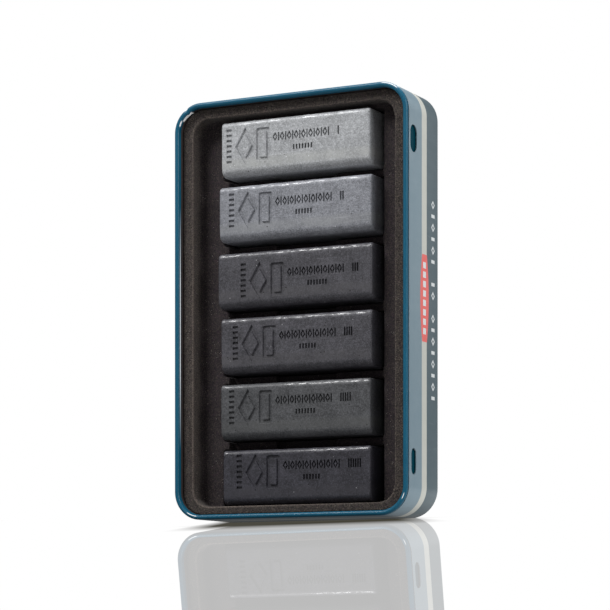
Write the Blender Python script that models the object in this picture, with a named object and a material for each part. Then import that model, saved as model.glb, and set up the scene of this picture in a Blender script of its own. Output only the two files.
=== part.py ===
"""A shallow metal tin of six square charcoal blocks, standing on its short end.

The rolled-rim base tray sits inside its own lid, which is turned round and used as an outer shell.
A formed insert fills the tray, and each block lies in its own pocket of the insert.

The origin is the middle of the footprint. X runs along the blocks, Y from the open front to the
back of the lid, and Z up. Depths are measured from the front, and heights from the foot.
"""

import math

import bmesh
import bpy
from mathutils import Vector

# Driving dimensions, in metres
TIN_WIDTH = 0.0932
TIN_HEIGHT = 0.1510
TIN_DEPTH = 0.0270
CORNER_RADIUS = 0.0104  # outer corner of the tin, seen from the front
SHEET = 0.00035  # steel sheet of the lid and the tray

BEAD_RADIUS = 0.0009  # the tray's rolled rim
LID_EDGE_DEPTH = 0.0021  # front edge of the lid, just behind the rolled rim
LID_BACK_RADIUS = 0.0010
TRAY_BACK_DEPTH = 0.02565
TRAY_FLOOR_RADIUS = 0.0009  # inside the tray, between wall and floor

# Each hinge slot: its middle's height above the foot and depth, then its width and length
SLOTS = (
    ("upper_slot", 0.1312, 0.0056, 0.0055, 0.0096),
    ("lower_slot", 0.0188, 0.0057, 0.0040, 0.0092),
)

# Raised bosses on the tray's wall, one behind each slot
BOSS_GAP = 0.00035  # between a boss and the lid's wall
BOSS_SHIFT = 0.0009  # how far a boss lies behind the middle of its slot
BOSS_MARGIN = 0.0007  # how far it reaches past the slot's outline

INSERT_GAP = 0.00035  # between the insert's skirt and the tray wall
INSERT_SHEET = 0.0008
INSERT_BACK_DEPTH = 0.0250
INSERT_CHAMFER = 0.0005
LIP_DEPTH = 0.0032
PLATFORM_DEPTH = 0.0100
POCKET_DEPTH = 0.0242
TROUGH_DEPTH = 0.0175
OPENING_WIDTH = 0.0807
OPENING_BOTTOM = 0.0048
OPENING_TOP = 0.1455
OPENING_RADIUS = 0.0060
POCKET_LEFT = -0.0313
POCKET_RIGHT = 0.0331
POCKET_RADIUS = 0.0008
TROUGH_WIDTH = 0.0240
RIDGE_DEPTH = 0.0145  # the ridges between pockets, which lie below the platform
RIDGE_LEFT = -0.0290
RIDGE_RIGHT = 0.0327

BLOCK_SIDE = 0.0198
BLOCK_EDGE_RADIUS = 0.0018
BLOCK_END_CHAMFER = 0.0003
BLOCK_FRONT_DEPTH = 0.0041
BLOCK_PITCH = 0.02372
BLOCK_REST_GAP = 0.0003  # under each block, in its pocket
POCKET_HEIGHT = BLOCK_SIDE + 0.0012
LOWEST_BLOCK_BOTTOM = OPENING_BOTTOM + BLOCK_REST_GAP

# Each block, lightest at the top: its length, where its middle lies across the tin, how far it is
# held above its lowest place in the pocket, and its grey
BLOCKS = (
    (0.0596, 0.0006, 0.0001, "A8AAAE"),
    (0.0610, 0.0004, 0.0005, "8B8E92"),
    (0.0618, 0.0003, 0.0001, "474749"),
    (0.0604, 0.0008, 0.0003, "4B4C50"),
    (0.0600, 0.0005, 0.0001, "565857"),
    (0.0590, 0.0010, 0.0000, "3C3B40"),
)

LID_BLUE = "7E929D"
TRAY_TEAL = "1E6A88"
INSERT_BROWN = "2E2A29"

CORNER_STEPS = 10
SLOT_STEPS = 8
BEAD_STEPS = 12
PROFILE_STEPS = 3
BLOCK_STEPS = 5
OVERCUT = 0.002  # how far a cutter runs past the face it opens


def clear_scene():
    for obj in list(bpy.data.objects):
        bpy.data.objects.remove(obj, do_unlink=True)


def linear_colour(code):
    """A hexadecimal screen colour as the linear values that a shader takes."""
    values = [int(code[i : i + 2], 16) / 255 for i in (0, 2, 4)]
    return [v / 12.92 if v <= 0.04045 else ((v + 0.055) / 1.055) ** 2.4 for v in values] + [1.0]


def make_material(name, code, roughness, metallic=0.0):
    material = bpy.data.materials.new(name)
    material.use_nodes = True
    shader = material.node_tree.nodes["Principled BSDF"]
    shader.inputs["Base Color"].default_value = linear_colour(code)
    shader.inputs["Roughness"].default_value = roughness
    shader.inputs["Metallic"].default_value = metallic
    return material


def arc(centre_x, centre_y, radius, start, end, steps):
    """Points on a circular arc, with angles in degrees."""
    angles = [math.radians(start + (end - start) * i / steps) for i in range(steps + 1)]
    return [(centre_x + radius * math.cos(a), centre_y + radius * math.sin(a)) for a in angles]


def rounded_rectangle(half_width, half_height, radius, steps):
    """Anticlockwise outline about the origin, as seen from the front."""
    corners = ((1, 1, 0), (-1, 1, 90), (-1, -1, 180), (1, -1, 270))
    points = []
    for side_x, side_z, turn in corners:
        centre_x = side_x * (half_width - radius)
        centre_z = side_z * (half_height - radius)
        points += arc(centre_x, centre_z, radius, turn, turn + 90, steps)
    return points


def loft(name, rings, material=None):
    """A closed body through rings of points that match one to one, capped at both ends."""
    mesh = bpy.data.meshes.new(name)
    work = bmesh.new()
    rows = [[work.verts.new(point) for point in ring] for ring in rings]
    count = len(rows[0])
    for row, following in zip(rows, rows[1:]):
        for i in range(count):
            j = (i + 1) % count
            work.faces.new((row[i], row[j], following[j], following[i]))
    work.faces.new(rows[0])
    work.faces.new(rows[-1])
    bmesh.ops.recalc_face_normals(work, faces=work.faces)
    work.to_mesh(mesh)
    work.free()
    mesh.shade_smooth()
    mesh.set_sharp_from_angle(angle=math.radians(35))
    obj = bpy.data.objects.new(name, mesh)
    bpy.context.scene.collection.objects.link(obj)
    if material:
        mesh.materials.append(material)
    return obj


def tin_ring(inset, depth):
    """A ring that follows the tin's outline, moved in from its edge, at a depth from the front."""
    outline = rounded_rectangle(
        TIN_WIDTH / 2 - inset, TIN_HEIGHT / 2 - inset, CORNER_RADIUS - inset, CORNER_STEPS
    )
    return [Vector((x, depth, z)) for x, z in outline]


def prism(name, left, right, bottom, top, radius, front, back):
    """A straight body from front to back, with rounded corners. Heights are about the tin's middle."""
    outline = rounded_rectangle((right - left) / 2, (top - bottom) / 2, radius, PROFILE_STEPS)
    centre_x, centre_z = (left + right) / 2, (bottom + top) / 2
    rings = [[Vector((x + centre_x, y, z + centre_z)) for x, z in outline] for y in (front, back)]
    return loft(name, rings)


def hide_helper(helper):
    helper.hide_render = True
    helper.display_type = "WIRE"


def combine(obj, helper, operation):
    modifier = obj.modifiers.new("with_" + helper.name, "BOOLEAN")
    modifier.operation = operation
    modifier.solver = "EXACT"
    modifier.object = helper
    hide_helper(helper)


def cut(obj, cutter):
    combine(obj, cutter, "DIFFERENCE")


def from_middle(height):
    """A height above the tin's foot, as a height about its middle."""
    return height - TIN_HEIGHT / 2


def make_lid():
    """The pale lid, open to the front, with two hinge slots through its right wall."""
    radius = LID_BACK_RADIUS
    outer = arc(radius, TIN_DEPTH - radius, radius, 90, 180, PROFILE_STEPS)
    inner = arc(radius, TIN_DEPTH - radius, radius - SHEET, 180, 90, PROFILE_STEPS)
    profile = outer + [(0, LID_EDGE_DEPTH), (SHEET, LID_EDGE_DEPTH)] + inner
    material = make_material("lid_enamel", LID_BLUE, 0.38, 0.2)
    lid = loft("lid", [tin_ring(inset, depth) for inset, depth in profile], material)
    for name, height, depth, width, length in SLOTS:
        slot = side_plug(name, height, depth, width, length, SHEET * 2, -SHEET)
        slot.parent = lid
        cut(lid, slot)
    return lid


def side_plug(name, height, depth, width, length, from_inset, to_inset):
    """A body with round ends that runs across the right wall, between two insets from its face."""
    outline = rounded_rectangle(width / 2, length / 2, width / 2 * 0.98, SLOT_STEPS)
    middle = from_middle(height)
    rings = [
        [Vector((TIN_WIDTH / 2 - inset, depth + y, middle + z)) for y, z in outline]
        for inset in (from_inset, to_inset)
    ]
    return loft(name, rings)


def make_tray():
    """The teal base tray. Its wall curls outward into a rolled bead that covers the lid's edge, and
    bears two bosses that lie behind the lid's slots."""
    wall_inner = 2 * BEAD_RADIUS
    wall_outer = wall_inner - SHEET
    meets_wall = math.degrees(math.acos((wall_outer - BEAD_RADIUS) / BEAD_RADIUS))
    behind = arc(BEAD_RADIUS, BEAD_RADIUS, BEAD_RADIUS, meets_wall, 180, BEAD_STEPS // 2)
    ahead = arc(BEAD_RADIUS, BEAD_RADIUS, BEAD_RADIUS, 180, 360, BEAD_STEPS)
    bead = behind + ahead[1:]
    radius = TRAY_FLOOR_RADIUS
    centre = (wall_inner + radius, TRAY_BACK_DEPTH - SHEET - radius)
    outer = arc(*centre, radius + SHEET, 90, 180, PROFILE_STEPS)
    inner = arc(*centre, radius, 180, 90, PROFILE_STEPS)
    profile = outer + bead + inner
    material = make_material("tray_enamel", TRAY_TEAL, 0.16, 0.2)
    tray = loft("tray", [tin_ring(inset, depth) for inset, depth in profile], material)
    for name, height, depth, width, length in SLOTS:
        boss = side_plug(
            "boss_behind_" + name,
            height,
            depth + BOSS_SHIFT,
            width + 2 * BOSS_MARGIN,
            length + 2 * BOSS_MARGIN,
            wall_inner - SHEET / 2,
            SHEET + BOSS_GAP,
        )
        boss.parent = tray
        combine(tray, boss, "UNION")
    return tray


def pocket_heights():
    """The bottom of each pocket above the tin's foot, from the top pocket down."""
    lowest = LOWEST_BLOCK_BOTTOM - BLOCK_REST_GAP
    return [lowest + BLOCK_PITCH * i for i in reversed(range(len(BLOCKS)))]


def insert_cavities(label, grow, past_floor):
    """Bodies of the insert's opening, ridges, finger trough and pockets. Growing them gives the
    sheet's underside."""
    half = OPENING_WIDTH / 2 + grow
    bottom = from_middle(OPENING_BOTTOM) - grow
    top = from_middle(OPENING_TOP) + grow
    front = LIP_DEPTH - OVERCUT
    radius = OPENING_RADIUS + grow
    yield prism(label + "_opening", -half, half, bottom, top, radius, front, PLATFORM_DEPTH + grow)
    inside = PLATFORM_DEPTH - OVERCUT
    trough = TROUGH_WIDTH / 2 + grow
    highest = from_middle(pocket_heights()[0]) + POCKET_HEIGHT / 2
    lowest = from_middle(pocket_heights()[-1]) + POCKET_HEIGHT / 2
    for name, left, right, back in (
        ("_ridges", RIDGE_LEFT - grow, RIDGE_RIGHT + grow, RIDGE_DEPTH + grow),
        ("_trough", -trough, trough, TROUGH_DEPTH + grow),
    ):
        yield prism(label + name, left, right, lowest, highest, POCKET_RADIUS, inside, back)
    for number, height in enumerate(pocket_heights(), 1):
        low = from_middle(height)
        yield prism(
            f"{label}_pocket_{number}",
            POCKET_LEFT - grow,
            POCKET_RIGHT + grow,
            low - grow,
            low + POCKET_HEIGHT + grow,
            POCKET_RADIUS + grow,
            inside,
            POCKET_DEPTH + past_floor,
        )


def make_insert():
    """The formed insert, open at its back: a flat lip, a recessed platform, and six pockets with low
    ridges and a finger trough between them."""
    edge = 2 * BEAD_RADIUS + INSERT_GAP
    profile = (
        (edge, LIP_DEPTH),
        (edge, INSERT_BACK_DEPTH - INSERT_CHAMFER),
        (edge + INSERT_CHAMFER, INSERT_BACK_DEPTH),
    )
    material = make_material("insert_flock", INSERT_BROWN, 0.9)
    insert = loft("insert", [tin_ring(inset, depth) for inset, depth in profile], material)
    hollow_rings = [
        tin_ring(edge + INSERT_SHEET, depth)
        for depth in (LIP_DEPTH + INSERT_SHEET, INSERT_BACK_DEPTH + OVERCUT)
    ]
    hollow = loft("insert_hollow", hollow_rings)
    for cavity in insert_cavities("underside", INSERT_SHEET, 2 * OVERCUT):
        cavity.parent = insert
        cut(hollow, cavity)
    hollow.parent = insert
    cut(insert, hollow)
    for cavity in insert_cavities("front", 0.0, 0.0):
        cavity.parent = insert
        cut(insert, cavity)
    return insert


def make_block(number, length, code):
    """One square block, with rounded long edges and crisp ends, about its own middle."""
    half = BLOCK_SIDE / 2
    chamfer = BLOCK_END_CHAMFER
    stations = (
        (-length / 2, chamfer),
        (-length / 2 + chamfer, 0),
        (length / 2 - chamfer, 0),
        (length / 2, chamfer),
    )
    rings = []
    for x, inset in stations:
        outline = rounded_rectangle(
            half - inset, half - inset, BLOCK_EDGE_RADIUS - inset, BLOCK_STEPS
        )
        rings.append([Vector((x, y, z)) for y, z in outline])
    material = make_material(f"charcoal_{number}", code, 0.55)
    return loft(f"charcoal_block_{number}", rings, material)


def main():
    clear_scene()
    lid = make_lid()
    lid.location = (0, -TIN_DEPTH / 2, TIN_HEIGHT / 2)
    tray = make_tray()
    tray.parent = lid
    insert = make_insert()
    insert.parent = tray
    for number, (length, middle, lift, code) in enumerate(BLOCKS, 1):
        block = make_block(number, length, code)
        bottom = pocket_heights()[number - 1] + BLOCK_REST_GAP + lift
        block.parent = insert
        block.location = (
            middle,
            BLOCK_FRONT_DEPTH + BLOCK_SIDE / 2,
            from_middle(bottom + BLOCK_SIDE / 2),
        )


main()
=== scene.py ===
"""A tin of six square charcoal blocks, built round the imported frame.

The lid is turned round behind the base tray as an outer shell. A flocked insert fills the tray and
holds the blocks. Lengths are in metres, with X along the blocks, Y from the open front to the back,
and Z up.
"""

import math

import bmesh
import bpy
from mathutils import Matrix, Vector, noise


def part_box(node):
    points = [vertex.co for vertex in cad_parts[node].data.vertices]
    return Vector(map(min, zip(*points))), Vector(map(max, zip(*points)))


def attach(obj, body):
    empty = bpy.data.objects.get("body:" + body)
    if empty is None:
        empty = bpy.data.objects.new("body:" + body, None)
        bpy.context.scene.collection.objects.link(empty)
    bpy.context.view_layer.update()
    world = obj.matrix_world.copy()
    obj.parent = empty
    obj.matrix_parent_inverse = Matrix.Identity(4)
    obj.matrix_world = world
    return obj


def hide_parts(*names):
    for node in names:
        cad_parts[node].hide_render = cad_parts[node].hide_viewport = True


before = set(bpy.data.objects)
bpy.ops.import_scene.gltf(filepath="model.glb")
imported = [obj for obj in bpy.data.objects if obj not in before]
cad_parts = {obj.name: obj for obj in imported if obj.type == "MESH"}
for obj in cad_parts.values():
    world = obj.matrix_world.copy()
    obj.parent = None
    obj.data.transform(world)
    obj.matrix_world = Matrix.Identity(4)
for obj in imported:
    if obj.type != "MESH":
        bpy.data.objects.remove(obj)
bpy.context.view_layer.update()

# The frame's places
LID_LOW, LID_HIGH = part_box("lid")
TRAY_LOW, TRAY_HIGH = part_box("tray")
FRONT = TRAY_LOW.y
BACK = LID_HIGH.y
FOOT = LID_LOW.z
WIDTH = LID_HIGH.x - LID_LOW.x
HEIGHT = LID_HIGH.z - LID_LOW.z
MIDDLE = Vector((0, 0, FOOT + HEIGHT / 2))

# The tin
CORNER_RADIUS = 0.0104
SHEET = 0.00035
BEAD_RADIUS = 0.0009
LID_BACK_RADIUS = 0.0010
LID_REACH = 0.0002  # closer to the bead than the frame's simpler edge
TRAY_FLOOR_RADIUS = 0.0009
CORNER_STEPS = 28
BEAD_STEPS = 24
SIDE_STEPS = 12
BEND_STEPS = 6  # across each small bend of the sheet
CREASE_DEPTH = 0.00032
CREASE_WIDTH = 0.0006
CREASE_ANGLE = 124  # degrees round the upper left corner
UPPER_LEFT = MIDDLE + Vector((CORNER_RADIUS - WIDTH / 2, 0, HEIGHT / 2 - CORNER_RADIUS))
DENT_DEPTH = 0.00016
DENT_WIDTH = 0.0035
HIGHLIGHT_ANGLE = 135  # middle of the painted highlight, a bright glowing place on the wall inside that corner
HIGHLIGHT_ALONG = (-0.0019, 0.0026)
HIGHLIGHT_DEPTH = 0.0026  # from the tin's front to its lower end
BARE_DEPTH = 0.0019  # where the enamel ends on the tray's inner wall
DULL_SHADED_DEPTH = (0.0020, 0.0024)  # over which its outer enamel, hidden by the lid, turns dull and darker with painted shade

# Painted highlights on the rim's corners, drawn as short white glowing lines: the corner, the
# degrees where each starts and ends, and its distance from the corner's centre
HIGHLIGHT_LINES = (
    (-1, 1, 149, 162, 0.0087),
    (-1, -1, -122, -98, 0.0092),
    (1, -1, -29, -18, 0.0097),
    (1, 1, 50, 86, 0.0100),
)
# Sizes and strength of the painted highlight lines, and of the one behind the left side
HIGHLIGHT_HALF_WIDTH = 0.00009
SIDE_HIGHLIGHT = (0.040, 0.100)  # heights of a painted highlight line behind the bead on the left side
SIDE_HIGHLIGHT_FADE = 0.014
SIDE_HIGHLIGHT_STRENGTH = 0.75
SIDE_HIGHLIGHT_DEPTH = (0.0012, 0.0017)

# Each hinge slot in the lid's right wall: its height above the foot, depth, width and length
SLOTS = ((0.1312, 0.0056, 0.0055, 0.0096), (0.0188, 0.0057, 0.0040, 0.0092))
PLUG_FLAT = 0.00002  # keeps a slot's straight sides from vanishing between its round ends
PLUG_STEPS = 12
BOSS_GAP = 0.00035  # between the lid's wall and the boss behind each slot
BOSS_SHIFT = 0.0009
BOSS_MARGIN = 0.0007
BOSS_EDGE = 0.0003  # rounding of its edge

# The printed bands on the lid's wall, as depths from the tin's front
STRIPE_FRONT = 0.01245
STRIPE_BACK = 0.01665
PRINT_EDGE = 0.0001  # over which one colour turns into the next
LABEL_DEPTH = 0.0148
LABEL_HALF_WIDTH = 0.00205
LABEL_BULGE = 0.0016
LABEL_HALF_LENGTH = 0.0154
LABEL_HEIGHT = 0.0767
DASHES = 8
DASHES_HALF_LENGTH = LABEL_HALF_LENGTH * 0.86
DASH_HALF_WIDTH = 0.0012
STRIP_DEPTH = 0.0221  # the middle of the row of marks on the dark band
STRIP_HALF_WIDTH = 0.00145
STRIP_LOW = 0.0401
STRIP_HIGH = 0.1126
STRIP_PLACES = 18
STRIP_GAPS = (8, 11)  # the empty places between its groups, counted from the lowest

# The blocks
BLOCK_EDGE_RADIUS = 0.0016
BLOCK_END_RADIUS = 0.0008
BLOCK_FACET = 0.0026  # reach of the larger, flatter rounding along the lower front edge
BLOCK_FLATTEN = 0.14
BLOCK_CELL = 0.0007  # of its mesh, along the block
BLOCK_SIDE_STEPS = 21
BLOCK_ROLL = 0.00012  # how far the lower front rolls back before its rounded edge
BLOCK_ROLL_START = 0.0065  # height above the block's foot where that begins
BLOCK_ROLL_LENGTH = 0.004
BLOCK_ARC_STEPS = 7  # across each rounded long edge
BROAD_UNEVENNESS = 0.00005
EDGE_UNEVENNESS = 0.00009
FACE_UNEVENNESS = 0.000015

# The marks pressed into the blocks' fronts
MARK_DEPTH = 0.0006
MARK_TAPER = 0.00028
SMALL_TAPER = 0.00010
MARKS_LEFT = -0.0272
MARKS_RISE = 0.0006  # above the block's middle
COLUMN_BARS = 7
COLUMN_PITCH = 0.0019
TALL_BORDER = 0.0015  # width of the tall diamond's and the tablet's groove
ROW_START = 0.0200  # from the left end of the marks
ROW_RISE = 0.0024
ROW_PAIRS = 8
ROW_PITCH = 0.00285
TALLY_START = 0.0452
TALLY_PITCH = 0.0009
LOWER_ROW_START = 0.0275
LOWER_ROW_DROP = 0.0019
LOWER_ROW_PITCH = 0.00118

# The insert's opening and levels, with depths from the tin's front
OPENING_WIDTH = 0.0807
OPENING_BOTTOM = 0.0048
OPENING_TOP = 0.1455
OPENING_RADIUS = 0.0060
LIP_DEPTH = 0.0032
RECESS_SHADE_DEPTH = (0.0075, 0.0105)  # over which painted shade darkens the sheet's colour
INSERT_GAP = 0.0001  # to the tray's wall
INSERT_WALL_REACH = 0.0030  # the insert's outer wall lies this near the tin's outline
INSERT_VOXEL = 0.00038
INSERT_KEPT_FACES = 0.22

# Each block: its grade, its grey, how uneven that grey is, how much painted shade darkens its
# marks, and how far those sit to the right of and above the first block's
BLOCKS = (
    ("charcoal_light", "ADAFB2", 1.25, 0.85, 0.0, 0.0000),
    ("charcoal_medium", "8A8C93", 1.4, 0.85, 0.0010, 0.0001),
    ("charcoal_dark", "49484E", 1.9, 0.45, 0.0058, -0.0014),
    ("charcoal_dark", "48474D", 2.1, 0.45, 0.0026, -0.0003),
    ("charcoal_dark", "4E4F52", 1.8, 0.45, 0.0011, 0.0005),
    ("charcoal_dark", "36353D", 2.2, 0.55, 0.0042, 0.0009),
)


def linear(code):
    """A hexadecimal screen colour as the linear values that a shader takes."""
    values = [int(code[i : i + 2], 16) / 255 for i in (0, 2, 4)]
    return [v / 12.92 if v <= 0.04045 else ((v + 0.055) / 1.055) ** 2.4 for v in values] + [1.0]


def link_object(name, mesh):
    obj = bpy.data.objects.new(name, mesh)
    bpy.context.scene.collection.objects.link(obj)
    return obj


def smooth(mesh, degrees=35):
    mesh.shade_smooth()
    mesh.set_sharp_from_angle(angle=math.radians(degrees))


def apply_modifiers(obj):
    """Replaces the object's mesh by the one its modifiers make."""
    graph = bpy.context.evaluated_depsgraph_get()
    mesh = bpy.data.meshes.new_from_object(obj.evaluated_get(graph))
    obj.modifiers.clear()
    obj.data = mesh


def combine(obj, other, operation="DIFFERENCE"):
    """Takes the other object's volume out of this one, or adds it, and removes the other."""
    modifier = obj.modifiers.new("combine", "BOOLEAN")
    modifier.operation = operation
    modifier.solver = "EXACT"
    modifier.object = other
    before = len(obj.data.polygons)
    apply_modifiers(obj)
    if len(obj.data.polygons) < before / 2:
        raise RuntimeError(f"the cut has emptied {obj.name}")
    bpy.data.objects.remove(other, do_unlink=True)


def hand_over(obj, node, body):
    """Lets the object stand for a node of the frame, which it hides, and move with its body."""
    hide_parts(node)
    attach(obj, body)


class Shader:
    """A material's node tree, with a short method for each kind of node."""

    def __init__(self, name):
        self.material = bpy.data.materials.new(name)
        self.material.use_nodes = True
        self.tree = self.material.node_tree
        self.surface = self.tree.nodes["Principled BSDF"]
        self.place = self.add("ShaderNodeTexCoord").outputs["Object"]

    def add(self, kind, **settings):
        node = self.tree.nodes.new(kind)
        for name, value in settings.items():
            setattr(node, name, value)
        return node

    def put(self, value, socket):
        if isinstance(value, bpy.types.NodeSocket):
            self.tree.links.new(value, socket)
        else:
            socket.default_value = value

    def set(self, **inputs):
        """Sets the surface's inputs, whose names have _ for each space."""
        for name, value in inputs.items():
            self.put(value, self.surface.inputs[name.replace("_", " ")])

    def math(self, operation, first, second=0.0, third=0.0):
        node = self.add("ShaderNodeMath", operation=operation)
        for value, socket in zip((first, second, third), node.inputs):
            self.put(value, socket)
        return node.outputs[0]

    def times(self, first, *others):
        for other in others:
            first = self.math("MULTIPLY", first, other)
        return first

    def minus(self, first, second):
        return self.math("SUBTRACT", first, second)

    def away(self, value, place=0.0):
        """How far the value is from a place, on either side."""
        return self.math("ABSOLUTE", self.minus(value, place) if place else value)

    def axes(self, place=None):
        node = self.add("ShaderNodeSeparateXYZ")
        self.put(place or self.place, node.inputs[0])
        return tuple(node.outputs)

    def stretch(self, x, y, z):
        node = self.add("ShaderNodeMapping")
        self.put(self.place, node.inputs["Vector"])
        node.inputs["Scale"].default_value = (x, y, z)
        return node.outputs[0]

    def noise(self, scale, detail=3.0, roughness=0.5, place=None):
        node = self.add("ShaderNodeTexNoise")
        self.put(place or self.place, node.inputs["Vector"])
        for name, value in (("Scale", scale), ("Detail", detail), ("Roughness", roughness)):
            node.inputs[name].default_value = value
        return node.outputs["Fac"]

    def cells(self, scale):
        """The distance to the nearest of many scattered points."""
        node = self.add("ShaderNodeTexVoronoi")
        self.put(self.place, node.inputs["Vector"])
        node.inputs["Scale"].default_value = scale
        return node.outputs["Distance"]

    def ramp(self, value, low, high, out_low=0.0, out_high=1.0):
        node = self.add("ShaderNodeMapRange")
        for name, given in (
            ("Value", value),
            ("From Min", low),
            ("From Max", high),
            ("To Min", out_low),
            ("To Max", out_high),
        ):
            self.put(given, node.inputs[name])
        return node.outputs[0]

    def mix(self, factor, first, second):
        node = self.add("ShaderNodeMix", data_type="RGBA")
        self.put(factor, node.inputs["Factor"])
        self.put(first, node.inputs[6])
        self.put(second, node.inputs[7])
        return node.outputs[2]

    def between(self, value, low, high, soft=0.00004):
        """1 where the value lies between low and high, with a soft edge."""
        above = self.ramp(value, low - soft, low + soft)
        below = self.ramp(value, high - soft, high + soft, 1.0, 0.0)
        return self.times(above, below)

    def bump(self, height, strength, distance):
        node = self.add("ShaderNodeBump")
        self.put(height, node.inputs["Height"])
        node.inputs["Strength"].default_value = strength
        node.inputs["Distance"].default_value = distance
        return node.outputs[0]

    def edge_wear(self, radius):
        """Near 1 on convex and concave edges, 0 on flat stretches."""
        bevel = self.add("ShaderNodeBevel", samples=4)
        bevel.inputs["Radius"].default_value = radius
        geometry = self.add("ShaderNodeNewGeometry")
        dot = self.add("ShaderNodeVectorMath", operation="DOT_PRODUCT")
        self.put(bevel.outputs[0], dot.inputs[0])
        self.put(geometry.outputs["Normal"], dot.inputs[1])
        return self.ramp(dot.outputs["Value"], 0.995, 0.9)


# Outlines and bodies


def arc(centre_x, centre_y, radius, start, end, steps):
    angles = [math.radians(start + (end - start) * i / steps) for i in range(steps + 1)]
    return [(centre_x + radius * math.cos(a), centre_y + radius * math.sin(a)) for a in angles]


def rounded_rectangle(half_width, half_height, radius, steps, side_steps=1):
    """Anticlockwise outline about the origin, with each straight side split into side_steps."""
    corners = ((1, 1, 0), (-1, 1, 90), (-1, -1, 180), (1, -1, 270))
    points = []
    for side_x, side_z, turn in corners:
        centre_x = side_x * (half_width - radius)
        centre_z = side_z * (half_height - radius)
        corner = arc(centre_x, centre_z, radius, turn, turn + 90, steps)
        if points:
            points += split(points[-1], corner[0], side_steps)
        points += corner
    return points + split(points[-1], points[0], side_steps)


def split(start, end, steps):
    """The points strictly between start and end."""
    share = [i / steps for i in range(1, steps)]
    return [tuple(a + (b - a) * s for a, b in zip(start, end)) for s in share]


def band(work, first, second):
    """Faces between two rings of vertices that match one to one."""
    count = len(first)
    for i in range(count):
        j = (i + 1) % count
        work.faces.new((first[i], first[j], second[j], second[i]))


def tube(work, loops):
    """Joins rings of points, one to the next, and returns their vertices."""
    rows = [[work.verts.new(point) for point in loop] for loop in loops]
    for row, following in zip(rows, rows[1:]):
        band(work, row, following)
    return rows


def skin(rings):
    """A closed mesh through rings of points that match one to one."""
    work = bmesh.new()
    rows = tube(work, rings)
    work.faces.new(rows[0])
    work.faces.new(rows[-1])
    bmesh.ops.recalc_face_normals(work, faces=work.faces)
    return work


def to_object(name, work, material):
    mesh = bpy.data.meshes.new(name)
    work.to_mesh(mesh)
    work.free()
    mesh.materials.append(material)
    return link_object(name, mesh)


def tin_ring(inset, depth):
    """A ring along the tin's outline, moved in from its edge, at a depth from the front."""
    outline = rounded_rectangle(
        WIDTH / 2 - inset, HEIGHT / 2 - inset, CORNER_RADIUS - inset, CORNER_STEPS, SIDE_STEPS
    )
    return [Vector((x, FRONT + depth, MIDDLE.z + z)) for x, z in outline]


# The lid


def lid_material():
    shader = Shader("printed_enamel")
    x, y, z = shader.axes()
    depth = shader.minus(y, FRONT)
    mottle = shader.noise(240, 4)
    pale = shader.mix(mottle, linear("7C95A2"), linear("879CA8"))
    slate = shader.mix(mottle, linear("4A5F68"), linear("536871"))
    stripe = shader.mix(mottle, linear("CFD1C9"), linear("D8DAD2"))
    colour = shader.mix(shader.ramp(depth, STRIPE_FRONT, STRIPE_FRONT + PRINT_EDGE), pale, stripe)
    colour = shader.mix(shader.ramp(depth, STRIPE_BACK, STRIPE_BACK + PRINT_EDGE), colour, slate)
    on_side = shader.math("GREATER_THAN", x, WIDTH / 2 - SHEET / 2)
    label = shader.times(label_mask(shader, depth, z), on_side)
    colour = shader.mix(label, colour, linear("FA6F69"))
    dashes = shader.times(label_dashes(shader, depth, z), on_side)
    marks = shader.times(strip_marks(shader, depth, z), on_side)
    white = shader.math("MAXIMUM", dashes, marks)
    colour = shader.mix(white, colour, linear("EEF4F5"))
    scuffs = shader.noise(60, 8, 0.7, shader.stretch(1, 1, 6))
    colour = shader.mix(shader.ramp(scuffs, 0.62, 0.8, 0.0, 0.25), colour, linear("B9C3C6"))
    edge_lightening = shader.times(shader.edge_wear(0.0003), shader.ramp(mottle, 0.45, 0.7), 0.5)
    colour = shader.mix(edge_lightening, colour, linear("C9CFD0"))
    peel = shader.noise(1500, 2)
    shader.set(
        Base_Color=colour,
        Metallic=0.15,
        Roughness=shader.ramp(scuffs, 0.3, 0.75, 0.3, 0.46),
        Normal=shader.bump(peel, 0.12, 0.00005),
        Coat_Weight=0.25,
        Coat_Roughness=0.25,
    )
    return shader.material


def label_mask(shader, depth, z):
    """A long plain label whose sides bulge towards its middle."""
    along = shader.math("DIVIDE", shader.minus(z, LABEL_HEIGHT), LABEL_HALF_LENGTH)
    squared = shader.times(along, along)
    half = shader.math("MULTIPLY_ADD", squared, -LABEL_BULGE, LABEL_HALF_WIDTH + LABEL_BULGE)
    inside = shader.minus(half, shader.away(depth, LABEL_DEPTH))
    wide = shader.ramp(inside, 0.0, 0.8 * PRINT_EDGE)
    long = shader.ramp(shader.away(along), 0.995, 1.0, 1.0, 0.0)
    return shader.times(wide, long)


def repeat(shader, z, low, pitch):
    """The place within each repeat along the strip, from -0.5 to 0.5, and the repeat's number."""
    along = shader.math("DIVIDE", shader.minus(z, low), pitch)
    number = shader.math("FLOOR", along)
    return shader.minus(shader.math("FRACT", along), 0.5), number


def label_dashes(shader, depth, z):
    """A row of short white dashes down the middle of the label."""
    low, high = LABEL_HEIGHT - DASHES_HALF_LENGTH, LABEL_HEIGHT + DASHES_HALF_LENGTH
    within, _ = repeat(shader, z, low, (high - low) / DASHES)
    dash = shader.ramp(shader.away(within), 0.31, 0.35, 1.0, 0.0)
    across = shader.between(depth, LABEL_DEPTH - DASH_HALF_WIDTH, LABEL_DEPTH + DASH_HALF_WIDTH)
    return shader.times(dash, across, shader.between(z, low, high))


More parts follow.
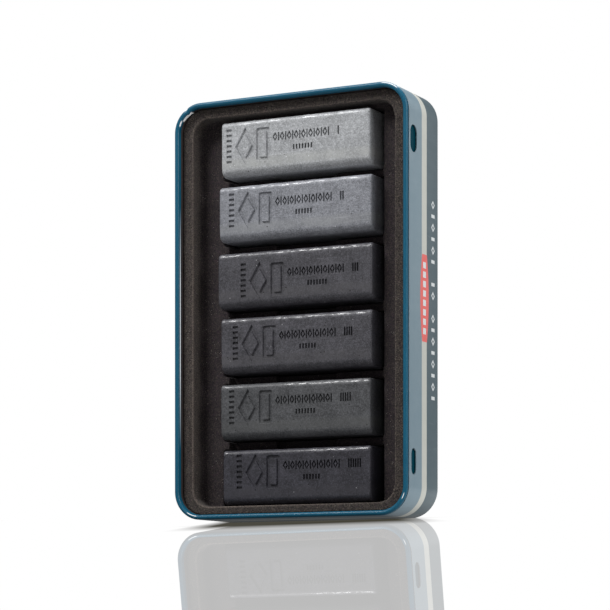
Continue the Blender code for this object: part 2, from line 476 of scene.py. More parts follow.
def strip_marks(shader, depth, z):
    """A row of small white diamonds and bars along the dark band, in three groups."""
    pitch = (STRIP_HIGH - STRIP_LOW) / STRIP_PLACES
    within, number = repeat(shader, z, STRIP_LOW, pitch)
    across = shader.math("DIVIDE", shader.away(depth, STRIP_DEPTH), STRIP_HALF_WIDTH)
    along = shader.away(within)
    from_middle = shader.math("MULTIPLY_ADD", along, 2.6, across)
    outer = shader.ramp(from_middle, 0.96, 1.04, 1.0, 0.0)
    inner = shader.ramp(from_middle, 0.46, 0.54, 1.0, 0.0)
    diamond = shader.minus(outer, inner)
    narrow = shader.ramp(along, 0.13, 0.17, 1.0, 0.0)
    bar = shader.times(narrow, shader.ramp(across, 0.94, 1.0, 1.0, 0.0))
    odd = shader.math("MODULO", number, 2.0)
    even = shader.minus(1.0, odd)
    shape = shader.math("ADD", shader.times(diamond, odd), shader.times(bar, even))
    keep = shader.between(z, STRIP_LOW, STRIP_HIGH)
    for gap in STRIP_GAPS:
        low = STRIP_LOW + gap * pitch
        keep = shader.minus(keep, shader.between(z, low, low + pitch))
    return shader.times(shape, keep)


def make_lid():
    """The lid's shell: satin print outside, with a folded front edge and two hinge slots."""
    back = BACK - FRONT
    radius = LID_BACK_RADIUS
    edge = LID_LOW.y - FRONT + SHEET / 2 - LID_REACH
    outer = arc(radius, back - radius, radius, 90, 180, BEND_STEPS)
    fold = arc(SHEET / 2, edge, SHEET / 2, 180, 360, BEND_STEPS)
    inner = arc(radius, back - radius, radius - SHEET, 180, 90, BEND_STEPS)
    profile = outer + fold + inner
    work = skin([tin_ring(inset, depth) for inset, depth in profile])
    lid = to_object("lid_shell", work, lid_material())
    for slot in SLOTS:
        combine(lid, side_plug(*slot, ((2 * SHEET, 0), (-SHEET, 0))))
    smooth(lid.data)
    hand_over(lid, "lid", "lid")


def side_plug(height, depth, width, length, levels, material=None):
    """A body with round ends across the right wall. Each level is its inset from the wall's face,
    and how much smaller the outline is there."""
    rings = []
    for inset, less in levels:
        half = width / 2 - less
        outline = rounded_rectangle(half, length / 2 - less, half - PLUG_FLAT, PLUG_STEPS)
        place = Vector((WIDTH / 2 - inset, FRONT + depth, FOOT + height))
        rings.append([place + Vector((0, y, z)) for y, z in outline])
    return to_object("side_plug", skin(rings), material)


# The tray


def tray_material():
    shader = Shader("gloss_enamel")
    mottle = shader.noise(120, 3)
    colour = shader.mix(mottle, linear("085773"), linear("0E6380"))
    chips = shader.ramp(shader.noise(2600, 2), 0.68, 0.74)
    chips = shader.times(chips, shader.ramp(shader.noise(160, 2), 0.6, 0.66), 0.6)
    colour = shader.mix(chips, colour, linear("9FC0CC"))
    peel = shader.noise(700, 2)
    # Painted highlights: short white glowing lines on the rim's corners and one behind its left
    # side.
    painted_highlight = painted_rim_highlights(shader)
    # Painted shade: behind the rim, where the slots show it, the enamel is darker; it also loses
    # its shine.
    behind_rim = shader.ramp(shader.axes()[1], *(FRONT + depth for depth in DULL_SHADED_DEPTH))
    colour = shader.mix(behind_rim, colour, linear("05404F"))
    shader.set(
        Base_Color=shader.mix(painted_highlight, colour, linear("F2F5F6")),
        Roughness=shader.ramp(mottle, 0.3, 0.7, 0.4, 0.47),
        Normal=shader.bump(peel, 0.03, 0.00005),
        Coat_Weight=shader.ramp(behind_rim, 0, 1, 0.12, 0.0),
        Coat_Roughness=0.15,
        Emission_Color=linear("FFFFFF"),
        Emission_Strength=shader.times(painted_highlight, 0.45),
    )
    shine = shader.ramp(behind_rim, 0, 1, 0.3, 0.03)
    shader.put(shine, shader.surface.inputs["Specular IOR Level"])
    return shader.material


def painted_rim_highlights(shader):
    """Up to 1 on a few short painted highlights, bright lines along the rim's corners, and on one
    behind its left side."""
    x, y, z = shader.axes()
    total = 0.0
    for side_x, side_z, start, end, reach in HIGHLIGHT_LINES:
        across = shader.minus(x, side_x * (WIDTH / 2 - CORNER_RADIUS))
        up = shader.minus(z, MIDDLE.z + side_z * (HEIGHT / 2 - CORNER_RADIUS))
        angle = shader.math("ARCTAN2", up, across)
        squares = shader.math("MULTIPLY_ADD", up, up, shader.times(across, across))
        length = shader.math("SQRT", squares)
        here = shader.between(angle, math.radians(start), math.radians(end), math.radians(2.5))
        low, high = reach - HIGHLIGHT_HALF_WIDTH, reach + HIGHLIGHT_HALF_WIDTH
        line = shader.between(length, low, high, HIGHLIGHT_HALF_WIDTH)
        total = shader.math("MAXIMUM", total, shader.times(here, line))
    front = shader.ramp(y, FRONT + BEAD_RADIUS, FRONT + BEAD_RADIUS + 0.0002, 1.0, 0.0)
    wall = 2 * BEAD_RADIUS - WIDTH / 2
    wall = shader.between(x, wall - SHEET / 2, wall + SHEET / 2)
    low, high = (FOOT + height for height in SIDE_HIGHLIGHT)
    here = shader.between(z, low, high, SIDE_HIGHLIGHT_FADE)
    line = shader.between(y, *(FRONT + depth for depth in SIDE_HIGHLIGHT_DEPTH), 0.0001)
    side = shader.times(here, wall, line, SIDE_HIGHLIGHT_STRENGTH)
    return shader.math("MAXIMUM", shader.times(total, front), side)


def plate_material():
    """The bare tinplate inside the rim, dark brown-grey with painted shade and a painted reflection
    of the brown insert, and with one painted highlight, a bright glowing place, in the upper left
    corner.
    """
    shader = Shader("bare_tinplate")
    x, y, z = shader.axes()
    grain = shader.noise(500, 3)
    # Painted shade and a painted reflection of the brown insert: the wall's dark brown-grey.
    wall_colour = shader.mix(grain, linear("4A4241"), linear("5C5352"))
    painted = shader.ramp(y, FRONT + BARE_DEPTH, FRONT + BARE_DEPTH + 0.0001, 1.0, 0.0)
    wall_colour = shader.mix(painted, wall_colour, linear("0D6482"))
    # Painted highlight: a bright white glowing place on the wall inside the upper left corner.
    turn = math.radians(HIGHLIGHT_ANGLE)
    across = shader.minus(x, UPPER_LEFT.x)
    up = shader.minus(z, UPPER_LEFT.z)
    along = shader.times(across, math.sin(turn))
    along = shader.math("MULTIPLY_ADD", up, -math.cos(turn), along)
    outward = shader.times(across, math.cos(turn))
    outward = shader.math("MULTIPLY_ADD", up, math.sin(turn), outward)
    depth = shader.minus(y, FRONT)
    tapered = shader.math("MULTIPLY_ADD", along, -0.25, depth)
    painted_highlight = shader.times(
        shader.between(along, *HIGHLIGHT_ALONG, 0.0003),
        shader.ramp(outward, 0.006, 0.0065),
        shader.ramp(tapered, HIGHLIGHT_DEPTH, HIGHLIGHT_DEPTH + 0.0001, 1.0, 0.0),
    )
    shader.set(
        Base_Color=shader.mix(painted_highlight, wall_colour, linear("F4F2EE")),
        Metallic=0.35,
        Roughness=shader.ramp(painted_highlight, 0, 1, 0.3, 0.5),
        Emission_Color=linear("FFFFFF"),
        Emission_Strength=shader.times(painted_highlight, 0.25),
        Normal=shader.bump(grain, 0.1, 0.0001),
    )
    return shader.material


def make_tray():
    """The tray, whose wall curls outward into a rolled bead with one small crease in a corner."""
    wall_inner = 2 * BEAD_RADIUS
    wall_outer = wall_inner - SHEET
    meets_wall = math.degrees(math.acos((wall_outer - BEAD_RADIUS) / BEAD_RADIUS))
    bead = arc(BEAD_RADIUS, BEAD_RADIUS, BEAD_RADIUS, meets_wall, 360, BEAD_STEPS)
    radius = TRAY_FLOOR_RADIUS
    centre = (wall_inner + radius, TRAY_HIGH.y - FRONT - SHEET - radius)
    outer = arc(*centre, radius + SHEET, 90, 180, BEND_STEPS)
    inner = arc(*centre, radius, 180, 90, BEND_STEPS)
    enamelled = [(wall_inner, BARE_DEPTH), (wall_inner, BARE_DEPTH + 0.0002)]
    work = skin([tin_ring(inset, depth) for inset, depth in outer + bead + enamelled + inner])
    for face in work.faces:
        face.material_index = int(is_bare(face))
    press_crease(work)
    enamel = tray_material()
    tray = to_object("tray_shell", work, enamel)
    tray.data.materials.append(plate_material())
    top = SHEET + BOSS_GAP
    levels = (
        (wall_inner - SHEET / 2, 0),
        (top + BOSS_EDGE, 0),
        (top + BOSS_EDGE / 3, BOSS_EDGE / 3),
        (top, BOSS_EDGE),
    )
    for height, depth, width, length in SLOTS:
        sizes = (height, depth + BOSS_SHIFT, width + 2 * BOSS_MARGIN, length + 2 * BOSS_MARGIN)
        combine(tray, side_plug(*sizes, levels, enamel), "UNION")
    smooth(tray.data)
    hand_over(tray, "tray", "tray")


def is_bare(face):
    """Whether a face of the tray is on the inner wall or floor, behind the enamel's edge."""
    centre = face.calc_center_median()
    inside = abs(centre.x) < WIDTH / 2 - 1.6 * BEAD_RADIUS
    inside = inside and abs(centre.z - MIDDLE.z) < HEIGHT / 2 - 1.6 * BEAD_RADIUS
    # In the upper left corner the bare plate, which carries a painted highlight, starts nearer the
    # front.
    highlight_corner = centre.x < UPPER_LEFT.x and centre.z > UPPER_LEFT.z
    behind_enamel = centre.y - FRONT > (1.1 * BEAD_RADIUS if highlight_corner else BARE_DEPTH)
    towards_middle = face.normal.x * centre.x + face.normal.z * (centre.z - MIDDLE.z) < 0
    return inside and behind_enamel and towards_middle


def press_crease(work):
    """Flattens the bead's upper left corner a little, with a narrow crease across it."""
    turn = math.radians(CREASE_ANGLE)
    outward = Vector((math.cos(turn), 0, math.sin(turn)))
    along = Vector((math.sin(turn), 0, -math.cos(turn)))
    for vertex in work.verts:
        offset = vertex.co - UPPER_LEFT
        if offset.dot(outward) < CORNER_RADIUS / 2 or vertex.co.y - FRONT > 2.2 * BEAD_RADIUS:
            continue
        place = offset.dot(along)
        crease = CREASE_DEPTH * math.exp(-((place / CREASE_WIDTH) ** 2))
        dent = DENT_DEPTH * math.exp(-((place / DENT_WIDTH) ** 2))
        vertex.co -= outward * (crease + dent)
        vertex.co.y += crease * 0.6


# The insert


def opening_distance(shader, x, z):
    """How far a point lies outside the rim of the insert's opening, seen from the front."""
    half_width = OPENING_WIDTH / 2 - OPENING_RADIUS
    half_height = (OPENING_TOP - OPENING_BOTTOM) / 2 - OPENING_RADIUS
    middle = FOOT + (OPENING_TOP + OPENING_BOTTOM) / 2
    across = shader.minus(shader.away(x), half_width)
    up = shader.minus(shader.away(z, middle), half_height)
    across_out = shader.math("MAXIMUM", across, 0.0)
    up_out = shader.math("MAXIMUM", up, 0.0)
    squares = shader.math("MULTIPLY_ADD", up_out, up_out, shader.math("POWER", across_out, 2.0))
    inner = shader.math("MINIMUM", shader.math("MAXIMUM", across, up), 0.0)
    both = shader.math("ADD", shader.math("SQRT", squares), inner)
    return shader.minus(both, OPENING_RADIUS)


def insert_material():
    shader = Shader("flocked_sheet")
    x, y, z = shader.axes()
    fibres = shader.noise(2500, 3, 0.7)
    clumps = shader.noise(300, 4)
    base = shader.mix(shader.ramp(clumps, 0.3, 0.7), linear("3D3836"), linear("494542"))
    colour = shader.mix(shader.ramp(fibres, 0.52, 0.7), base, linear("75695F"))
    colour = shader.mix(shader.ramp(fibres, 0.48, 0.34), colour, linear("211D1C"))
    # Painted shade: the sheet darkens towards a purple black deeper in the recess.
    deep = shader.ramp(y, *(FRONT + depth for depth in RECESS_SHADE_DEPTH), 0.0, 0.55)
    colour = shader.mix(deep, colour, linear("26212B"))
    tint = shader.noise(1300, 1)
    colour = shader.mix(shader.ramp(tint, 0.55, 0.75, 0.0, 0.35), colour, linear("4A3A46"))
    glint = shader.ramp(shader.cells(1500), 0.15, 0.08)
    sparse = shader.ramp(shader.noise(700, 1), 0.6, 0.64)
    colour = shader.mix(shader.times(glint, sparse), colour, linear("C9C4BE"))
    # Painted highlight: a lighter line along the opening's edge, stronger on the left and low down.
    rim = shader.between(opening_distance(shader, x, z), 0.0, 0.0004, 0.0003)
    front = shader.ramp(y, FRONT + LIP_DEPTH + 0.0003, FRONT + LIP_DEPTH + 0.0009, 1.0, 0.0)
    to_right = shader.ramp(x, -0.02, 0.02, 1.0, 0.4)
    upward = shader.ramp(z, 0.0, OPENING_TOP, 1.0, 0.5)
    patchy = shader.ramp(fibres, 0.38, 0.6, 0.3, 1.0)
    painted_highlight = shader.times(rim, front, to_right, upward, patchy)
    colour = shader.mix(painted_highlight, colour, linear("7D726B"))
    shader.set(
        Base_Color=colour,
        Roughness=0.95,
        Normal=shader.bump(fibres, 0.4, 0.00014),
        Sheen_Weight=0.1,
        Sheen_Roughness=0.4,
    )
    shader.surface.inputs["Specular IOR Level"].default_value = 0.15
    return shader.material


def make_insert():
    """The formed insert: the frame's solid, with every edge rounded as a heated sheet takes it."""
    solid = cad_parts["insert"]
    insert = link_object("flocked_insert", solid.data.copy())
    insert.data.materials.clear()
    insert.data.materials.append(insert_material())
    remesh = insert.modifiers.new("remesh", "REMESH")
    remesh.mode = "VOXEL"
    remesh.voxel_size = INSERT_VOXEL
    soften = insert.modifiers.new("soften", "SMOOTH")
    soften.factor = 0.5
    soften.iterations = 3
    thin = insert.modifiers.new("thin", "DECIMATE")
    thin.ratio = INSERT_KEPT_FACES
    apply_modifiers(insert)
    outer_edge = max(vertex.co.x for vertex in insert.data.vertices)
    grow = WIDTH / 2 - 2 * BEAD_RADIUS - INSERT_GAP - outer_edge
    for vertex in insert.data.vertices:
        across = max(0.0, abs(vertex.co.x) - WIDTH / 2 + CORNER_RADIUS)
        up = max(0.0, abs(vertex.co.z - MIDDLE.z) - HEIGHT / 2 + CORNER_RADIUS)
        reach = math.hypot(across, up)
        if reach > CORNER_RADIUS - INSERT_WALL_REACH:
            vertex.co.x += math.copysign(grow * across / reach, vertex.co.x)
            vertex.co.z += math.copysign(grow * up / reach, vertex.co.z - MIDDLE.z)
    insert.data.shade_smooth()
    hand_over(insert, "insert", "insert")


# The blocks


def charcoal_material(number, code, uneven, mark_shade, low, high, left):
    """Pressed charcoal: fine grit, mottling, drag lines along the block, worn, shinier edges that
    painted highlights lighten further, and marks darkened with painted shade.
    """
    shader = Shader(f"pressed_charcoal_{number}")
    x, y, z = shader.axes()
    grey = linear(code)

    def shade(factor, add=0.0, tint=(1, 1, 1)):
        factor = max(0.12, 1 + (factor - 1) * uneven)
        return [min(1.0, v * factor * t + add) for v, t in zip(grey, tint)] + [1.0]

    drag = shader.noise(700, 4, 0.65, shader.stretch(0.05, 1, 1))
    scratch = shader.noise(1500, 2, 0.5, shader.stretch(0.02, 1, 1))
    grit = shader.noise(2300, 3, 0.75)
    mottle = shader.noise(820, 4, 0.7)
    smudge = shader.noise(110, 5, 0.65)
    blotch = shader.noise(38, 3)
    colour = shader.mix(shader.ramp(smudge, 0.32, 0.68), shade(0.8), shade(1.14, 0.004))
    colour = shader.mix(shader.ramp(blotch, 0.35, 0.65, 0.0, 0.35), colour, shade(0.82))
    for fac, strength, light, dark in (
        (mottle, 0.6, shade(1.3, 0.006), shade(0.68)),
        (drag, 0.3, shade(1.3, 0.006), shade(0.68)),
        (grit, 0.75, shade(1.6, 0.012), shade(0.5)),
    ):
        colour = shader.mix(shader.ramp(fac, 0.52, 0.7, 0.0, strength), colour, light)
        colour = shader.mix(shader.ramp(fac, 0.48, 0.3, 0.0, strength), colour, dark)
    paler = shader.between(z, low.z + BLOCK_FACET, low.z + 0.0062, 0.0007)
    paler = shader.times(paler, shader.ramp(smudge, 0.35, 0.6, 0.25, 0.6))
    colour = shader.mix(paler, colour, shade(1.12, 0.004, (1.0, 0.99, 0.92)))
    hair = shader.times(shader.ramp(scratch, 0.66, 0.7), shader.ramp(smudge, 0.4, 0.6), 0.4)
    colour = shader.mix(hair, colour, shade(1.6, 0.02))
    pits = shader.ramp(shader.cells(620), 0.2, 0.1)
    pits = shader.times(pits, shader.ramp(shader.noise(210, 1), 0.58, 0.64))
    colour = shader.mix(pits, colour, shade(0.3))
    crumbs = shader.ramp(shader.cells(480), 0.12, 0.07)
    crumbs = shader.times(crumbs, shader.ramp(shader.noise(150, 1), 0.6, 0.64))
    colour = shader.mix(crumbs, colour, shade(1.4, 0.2))
    # Painted shade: the marks' grooves are darkened.
    mark_shade_colour = [v * 0.4 for v in grey[:3]] + [1.0]
    pressed = pressed_places(shader, x, y, z, low, high, left)
    colour = shader.mix(shader.times(pressed, mark_shade), colour, mark_shade_colour)
    # Wear and painted highlight: the front edges are lightened.
    edge_lightening, top = worn_and_highlit_edges(shader, x, y, z, low, high)
    edge_lightening = shader.times(edge_lightening, shader.ramp(grit, 0.4, 0.62), 0.45)
    colour = shader.mix(edge_lightening, colour, shade(1.35, 0.03))
    streaks = shader.ramp(shader.noise(1300, 3, 0.6, shader.stretch(0.3, 1, 1)), 0.46, 0.54)
    runs = shader.noise(90, 2, place=shader.stretch(1, 0.1, 0.1))
    dull_left = -0.14 if number == len(BLOCKS) else -0.05
    runs = shader.math("ADD", runs, shader.ramp(x, low.x, high.x, dull_left, 0.09))
    polish_and_highlight = shader.times(streaks, shader.ramp(runs, 0.44, 0.52), top)
    # Painted highlight: where the top edge is polished, its colour is also lightened.
    colour = shader.mix(shader.times(polish_and_highlight, 0.5), colour, shade(1.5, 0.12))
    relief = shader.math("MULTIPLY_ADD", mottle, 0.8, shader.times(grit, 0.5))
    relief = shader.math("MULTIPLY_ADD", crumbs, 0.6, shader.minus(relief, pits))
    shader.set(
        Base_Color=colour,
        Roughness=shader.ramp(smudge, 0.3, 0.7, 0.42, 0.54),
        Normal=shader.bump(relief, 0.6, 0.0001),
        Coat_Weight=shader.times(polish_and_highlight, 0.85),
        Coat_Roughness=0.16,
    )
    return shader.material


def pressed_places(shader, x, y, z, low, high, left):
    """Where painted shade darkens the marks: 1 in the rows of small ones, less in the bars at the
    left and on the walls of the tall ones."""
    deep = shader.minus(y, low.y)
    upright = shader.between(z, low.z + 0.0045, high.z - 0.0030)
    lengthwise = shader.between(x, low.x + 0.0015, high.x - 0.0015)
    all_over = shader.ramp(deep, 0.00018, 0.0003)
    row = shader.ramp(x, left + 0.0182, left + 0.0184)
    bars = shader.ramp(x, left + 0.0031, left + 0.0033, 0.35, 0.0)
    tall = shader.ramp(deep, 0.00048, 0.00056, 0.4, 0.0)
    strength = shader.math("MAXIMUM", shader.math("MAXIMUM", row, bars), tall)
    return shader.times(all_over, strength, upright, lengthwise)


def worn_and_highlit_edges(shader, x, y, z, low, high):
    """1 along the block's front edges, where handling has rubbed them and a painted highlight
    lightens them, falling to 0 each side, and the same for the top edge alone."""

    def near(value, place, width, strength=1.0):
        return shader.ramp(shader.away(value, place), width * 0.4, width, strength, 0.0)

    front = shader.ramp(y, low.y + 0.0010, low.y + 0.0020, 1.0, 0.0)
    top = shader.times(near(z, high.z - 0.0009, 0.0011), front)
    bottom = near(z, low.z + BLOCK_FACET, 0.0006, 0.7)
    left = near(x, low.x, 0.0009, 0.6)
    right = near(x, high.x, 0.0008)
    others = shader.math("MAXIMUM", bottom, shader.math("MAXIMUM", left, right))
    return shader.math("MAXIMUM", shader.times(others, front), top), top


def roughen(point, normal, amount, seed):
    """A point moved along its normal by two sizes of unevenness."""
    shift = Vector((seed * 7.1, seed * 3.3, seed * 5.7))
    broad = noise.noise(point * 140 + shift)
    fine = noise.noise(point * 650 + shift)
    return point + normal * (broad * BROAD_UNEVENNESS + fine * amount)


def block_section(half, inset):
    """The block's outline from its end: small roundings, and a larger, flatter one at the lower
    front edge."""
    points = []
    for side_y, side_z, turn in ((1, 1, 0), (-1, 1, 90), (-1, -1, 180), (1, -1, 270)):
        lower_front = side_y < 0 and side_z < 0
        radius = (BLOCK_FACET if lower_front else BLOCK_EDGE_RADIUS) - inset
        centre = half - radius
        corner = arc(side_y * centre, side_z * centre, radius, turn, turn + 90, BLOCK_ARC_STEPS)
        if lower_front:
            push = [BLOCK_FLATTEN * (radius - (y + half) - (z + half)) for y, z in corner]
            corner = [(y + p, z + p) for (y, z), p in zip(corner, push)]
        if points:
            points += split(points[-1], corner[0], BLOCK_SIDE_STEPS)
        points += corner
    return points + split(points[-1], points[0], BLOCK_SIDE_STEPS)


def block_rings(low, high, seed):
    """Sections along the block: flat sides, rounded long edges and slightly rounded rough ends."""
    half = (high.z - low.z) / 2
    centre = (low + high) / 2
    length = high.x - low.x
    steps = round(length / BLOCK_CELL)
    radius = BLOCK_END_RADIUS
    turns = [math.radians(a) for a in (0, 22, 45, 67, 90)]
    ends = [(radius * (1 - math.sin(a)), radius * (1 - math.cos(a))) for a in turns]
    ends.reverse()
    stations = list(ends)
    stations += [(radius + (length - 2 * radius) * i / steps, 0.0) for i in range(1, steps)]
    stations += [(length - x, inset) for x, inset in reversed(ends)]
    rings = []
    for x, inset in stations:
        ring = []
        for y, z in block_section(half - inset, inset):
            offset = Vector((0, y, z))
            at_edge = min(abs(y), abs(z)) > half - BLOCK_FACET
            amount = EDGE_UNEVENNESS if at_edge or inset else FACE_UNEVENNESS
            if y < 0 and z < 0:
                share = (-z - half + BLOCK_ROLL_START) / BLOCK_ROLL_LENGTH
                y = y + BLOCK_ROLL * min(1.0, max(0.0, share)) ** 2
            point = Vector((low.x + x, centre.y + y, centre.z + z))
            ring.append(roughen(point, offset.normalized(), amount, seed))
        rings.append(ring)
    return rings


def offset_loop(points, distance):
    """An anticlockwise convex outline moved outward by a distance."""
    moved = []
    count = len(points)
    for i, point in enumerate(points):
        before = (Vector(point) - Vector(points[i - 1])).normalized()
        after = (Vector(points[(i + 1) % count]) - Vector(point)).normalized()
        normal_before = Vector((before.y, -before.x))
        normal_after = Vector((after.y, -after.x))
        middle = (normal_before + normal_after).normalized()
        reach = distance / max(0.3, middle.dot(normal_before))
        moved.append(Vector(point) + middle * reach)
    return moved


def stamp(work, outline, centre, front, hole=None, taper=SMALL_TAPER):
    """A tapered mark, wide at the face and narrower at its bottom, with an optional hole."""
    levels = [(0.0, -MARK_DEPTH), (0.0, 0.0), (-taper, MARK_DEPTH)]

    def loops_of(points, sign):
        return [
            [Vector((centre[0] + u, front + depth, centre[1] + v))
             for u, v in offset_loop(points, sign * spread)]
            for spread, depth in levels
        ]

    rows = tube(work, loops_of(outline, 1))
    if hole is None:
        work.faces.new(rows[0])
        work.faces.new(rows[-1])
        return
    inner = tube(work, loops_of(hole, -1))
    for end in (0, -1):
        band(work, rows[end], inner[end])


def bar_outline(width, height):
    half, tall = width / 2, height / 2
    return [(-half, -tall), (half, -tall), (half, tall), (-half, tall)]


def diamond_outline(width, height):
    return [(0, -height / 2), (width / 2, 0), (0, height / 2), (-width / 2, 0)]


def block_marks(number, low, high, left, up):
    """The generic marks pressed into a block's front face, as one cutter."""
    work = bmesh.new()
    front = low.y
    middle = (low.z + high.z) / 2 + MARKS_RISE + up
    for i in range(COLUMN_BARS):
        height = middle + 0.0006 + COLUMN_PITCH * (i - COLUMN_BARS // 2)
        stamp(work, bar_outline(0.0022, 0.0009), (left + 0.0012, height), front)
    tall = diamond_outline(0.0084, 0.0136)
    inner = offset_loop(tall, -TALL_BORDER)
    stamp(work, tall, (left + 0.0078, middle + 0.0002), front, inner, MARK_TAPER)
    tablet = rounded_rectangle(0.0028, 0.0060, 0.0009, 4)
    inner = rounded_rectangle(0.0028 - TALL_BORDER, 0.0060 - TALL_BORDER, 0.0003, 4)
    stamp(work, tablet, (left + 0.0150, middle + 0.0002), front, inner, MARK_TAPER)
    line = middle + ROW_RISE
    small = diamond_outline(0.0021, 0.0034)
    for i in range(ROW_PAIRS):
        place = left + ROW_START + ROW_PITCH * i
        stamp(work, small, (place, line), front, offset_loop(small, -0.0005))
        stamp(work, bar_outline(0.0005, 0.0031), (place + 0.00143, line), front)
    for i in range(number):
        place = (left + TALLY_START + TALLY_PITCH * i, line)
        stamp(work, bar_outline(0.0006, 0.0031), place, front)
    for i in range(6 + number % 2):
        place = (left + LOWER_ROW_START + LOWER_ROW_PITCH * i, middle - LOWER_ROW_DROP)
        stamp(work, bar_outline(0.0007, 0.0018), place, front)
    bmesh.ops.recalc_face_normals(work, faces=work.faces)
    return to_object("mark_cutter", work, None)


def make_block(number, slot, code, uneven, mark_shade, right, up):
    node = f"charcoal_block_{number}"
    low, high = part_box(node)
    left = MARKS_LEFT + right
    material = charcoal_material(number, code, uneven, mark_shade, low, high, left)
    block = to_object(f"pressed_block_{number}", skin(block_rings(low, high, number)), material)
    combine(block, block_marks(number, low, high, left, up))
    smooth(block.data, 32)
    hand_over(block, node, f"block_{number}")


# The stage


CAMERA_PLACE = Vector((0.3848, FRONT - 0.7379, FOOT - 0.0397))
CAMERA_TURN = 27.114  # degrees to the tin's right
LENS = 138.35
LENS_RISE = 0.5317
FLOOR_SLOPE_Y = 3.7  # degrees, only from the low camera place
FLOOR_SLOPE_X = -0.6
FLOOR_REACH = 4  # from its middle to each edge
FLOOR_DROP = 0.0002  # keeps it clear of the tin's foot
SKY_REACH = 0.03  # within this of the tin the floor is shaded
CONTACT_REACH = 0.2  # depth of the contact shade on that sloping floor
CONTACT_THROUGH = 0.026  # length of a sight line under the tin that gives the full shade
GLOW_REACH = 0.03  # beside the tin, over which the floor's light on it reaches its full strength

# Each light: its name, place, size and radiance
LIGHTS = (
    ("key", (-0.42, -0.68, 0.90), (0.42, 0.42), 17),
    ("side", (0.60, -0.18, 0.40), (0.28, 0.34), 6.5),
    ("strip", (0.66, -0.20, 0.13), (0.05, 0.11), 12),
    ("backdrop", (0.60, 0.80, 0.45), (0.6, 0.6), 0.6),
    ("crown", (0.06, 0.30, 1.10), (0.4, 0.4), 16),
)


def make_camera():
    data = bpy.data.cameras.new("camera")
    data.sensor_width = 36
    data.lens = LENS
    data.clip_start = 0.05
    camera = link_object("camera", data)
    camera.location = CAMERA_PLACE
    camera.rotation_euler = (math.radians(90), 0, math.radians(CAMERA_TURN))
    bpy.context.scene.camera = camera
    at_place(data, "shift_y", -1, camera, f"{LENS_RISE}", "0")
    return camera


def at_place(owner, path, index, camera, there, elsewhere):
    """Gives a setting one value while the camera is at its own low place, and another elsewhere."""
    curve = owner.driver_add(path) if index < 0 else owner.driver_add(path, index)
    driver = curve.driver
    terms = []
    for axis, value in zip("XYZ", CAMERA_PLACE):
        variable = driver.variables.new()
        variable.name = axis.lower()
        variable.type = "TRANSFORMS"
        target = variable.targets[0]
        target.id = camera
        target.transform_type = "LOC_" + axis
        target.transform_space = "WORLD_SPACE"
        terms.append(f"abs({variable.name} - {value:.4f})")
    driver.expression = f"{there} if {' + '.join(terms)} < 0.001 else {elsewhere}"


def make_floor(camera):
    """A white floor with a faint mirror image. It is level, but falls towards the low camera place,
    which would otherwise look at it from underneath."""
    shader = Shader("pale_floor")
    tree = shader.tree
    x, y, _ = shader.axes(shader.add("ShaderNodeNewGeometry").outputs["Position"])
    near_tin = shader.add("ShaderNodeAmbientOcclusion", samples=8)
    near_tin.inputs["Distance"].default_value = SKY_REACH
    open_sky = shader.ramp(near_tin.outputs["AO"], 0.0, 0.75)
    colour = shader.mix(open_sky, linear("8F8E84"), linear("FFFFFF"))
    contact = contact_shade(shader, x, y, camera)
    colour = shader.mix(contact, colour, linear("5E5B4E"))
    paper = shader.add("ShaderNodeEmission")
    shader.put(colour, paper.inputs["Color"])
    mirror = shader.add("ShaderNodeBsdfGlossy")
    shader.put(shader.mix(contact, linear("FFFFFF"), linear("303030")), mirror.inputs["Color"])
    mirror.inputs["Roughness"].default_value = 0.0
    seen = shader.add("ShaderNodeMixShader")
    seen.inputs[0].default_value = 0.5
    tree.links.new(paper.outputs[0], seen.inputs[1])
    tree.links.new(mirror.outputs[0], seen.inputs[2])
    glow = shader.add("ShaderNodeEmission")
    shader.put(floor_glow(shader, x, y), glow.inputs["Strength"])
    path = shader.add("ShaderNodeLightPath")
    both = shader.add("ShaderNodeMixShader")
    tree.links.new(path.outputs["Is Camera Ray"], both.inputs[0])
    tree.links.new(glow.outputs[0], both.inputs[1])
    tree.links.new(seen.outputs[0], both.inputs[2])
    tree.links.new(both.outputs[0], tree.nodes["Material Output"].inputs["Surface"])
    work = bmesh.new()
    bmesh.ops.create_grid(work, x_segments=2, y_segments=2, size=FLOOR_REACH)
    floor = to_object("floor", work, shader.material)
    floor.location = (0, BACK, FOOT - FLOOR_DROP)
    at_place(floor, "rotation_euler", 0, camera, f"{math.radians(FLOOR_SLOPE_Y):.5f}", "0")
    at_place(floor, "rotation_euler", 1, camera, f"{math.radians(FLOOR_SLOPE_X):.5f}", "0")


def floor_glow(shader, x, y):
    """The light that the pale floor throws on the tin: more beside it than under it, and most from
    a place by its right wall."""
    beside_x = shader.minus(shader.away(x), WIDTH / 2)
    beside_y = shader.minus(shader.away(y), BACK)
    beside = shader.math("MAXIMUM", beside_x, beside_y)
    around = shader.ramp(beside, 0.0, GLOW_REACH, 0.12, 0.35)
    right = shader.times(
        shader.ramp(x, WIDTH / 2 - 0.012, WIDTH / 2 + 0.002, 0.0, 0.55),
        shader.ramp(x, WIDTH / 2 + 0.025, 0.12, 1.0, 0.18),
        shader.ramp(y, FRONT - 0.02, FRONT, 0.2, 1.0),
    )
    return shader.math("ADD", around, right)


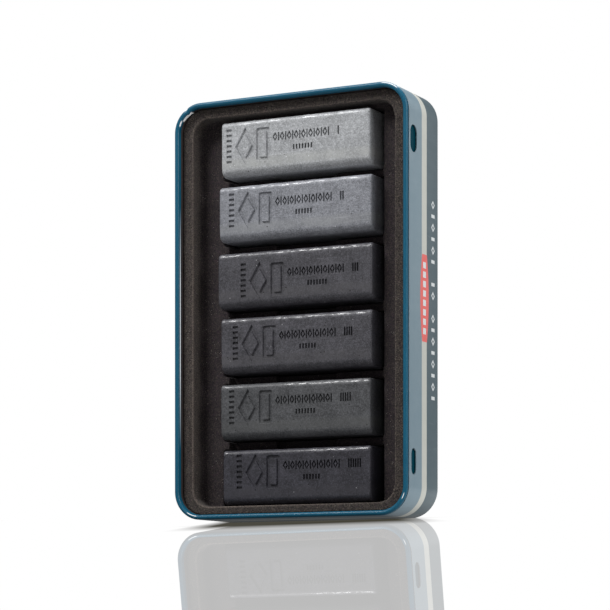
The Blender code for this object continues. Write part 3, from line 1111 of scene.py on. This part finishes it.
def contact_shade(shader, x, y, camera):
    """1 on the floor under and just in front of the tin, seen from the low camera place, and 0
    elsewhere. From any other place it is 0 all over."""
    turn = math.radians(CAMERA_TURN)
    step_x, step_y = -math.sin(turn), math.cos(turn)
    flat = WIDTH / 2 - CORNER_RADIUS * 0.6

    def steps_to(value, place, step):
        return shader.math("DIVIDE", shader.minus(place, value), step)

    enter = shader.math("MAXIMUM", steps_to(x, flat, step_x), steps_to(y, FRONT, step_y))
    leave = shader.math("MINIMUM", steps_to(x, -flat, step_x), steps_to(y, BACK, step_y))
    through = shader.ramp(shader.minus(leave, enter), 0.0, CONTACT_THROUGH)
    from_camera = shader.add("ShaderNodeValue").outputs[0]
    at_place(from_camera, "default_value", -1, camera, "1", "0")
    share = shader.math("DIVIDE", enter, CONTACT_REACH)
    return shader.times(through, shader.ramp(share, 0.25, 0.95, 1.0, 0.0), from_camera)


def add_light(name, place, size, radiance):
    """A rectangular light facing the tin's middle. Its power follows from its size and radiance."""
    data = bpy.data.lights.new(name, "AREA")
    data.shape = "RECTANGLE"
    data.size, data.size_y = size
    data.energy = radiance * math.pi * size[0] * size[1]
    light = link_object(name, data)
    light.location = place
    light.rotation_mode = "QUATERNION"
    light.rotation_quaternion = (Vector(place) - MIDDLE).to_track_quat("Z", "Y")


def make_light():
    world = bpy.data.worlds.new("studio")
    bpy.context.scene.world = world
    world.use_nodes = True
    tree = world.node_tree
    path = tree.nodes.new("ShaderNodeLightPath")
    seen = tree.nodes.new("ShaderNodeMath")
    seen.operation = "MAXIMUM"
    tree.links.new(path.outputs["Is Camera Ray"], seen.inputs[0])
    tree.links.new(path.outputs["Is Singular Ray"], seen.inputs[1])
    strength = tree.nodes.new("ShaderNodeMapRange")
    strength.inputs["To Min"].default_value = 0.2
    strength.inputs["To Max"].default_value = 1.0
    tree.links.new(seen.outputs[0], strength.inputs["Value"])
    tree.links.new(strength.outputs[0], tree.nodes["Background"].inputs["Strength"])
    tree.nodes["Background"].inputs["Color"].default_value = (1, 1, 1, 1)
    for light in LIGHTS:
        add_light(*light)


def main():
    bpy.context.scene.view_settings.view_transform = "Standard"
    make_lid()
    make_tray()
    make_insert()
    for number, sizes in enumerate(BLOCKS, 1):
        make_block(number, *sizes)
    camera = make_camera()
    make_floor(camera)
    make_light()


main()
